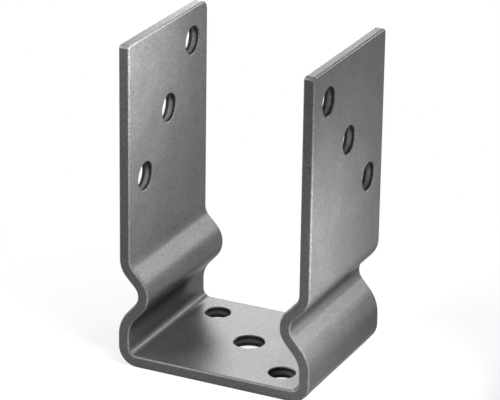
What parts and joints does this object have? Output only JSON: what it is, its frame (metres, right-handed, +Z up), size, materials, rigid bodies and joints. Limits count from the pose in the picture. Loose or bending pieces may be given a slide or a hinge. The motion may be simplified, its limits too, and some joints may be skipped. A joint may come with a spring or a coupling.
{
  "type": "beam hanger",
  "caption": "U-shaped hanger folded from one flat steel bar, with a waisted foot that bulges below the legs and rows of round bolt holes on the diagonal.",
  "frame": {"origin": "middle of the base's underside, on the axis of the base's middle hole", "axes": "+X across the U from the left leg to the right leg, +Y along the width of the bar towards the back, +Z up the legs; the picture looks from the front right, from -Y and +X"},
  "size_m": [0.0872, 0.07, 0.14],
  "materials": {
    "steel": "hot-rolled flat bar with a dull grey coat, slightly mottled and brighter along its rounded edges"
  },
  "bodies": {
    "root": {"hanger": "steel"}
  },
  "joints": []
}
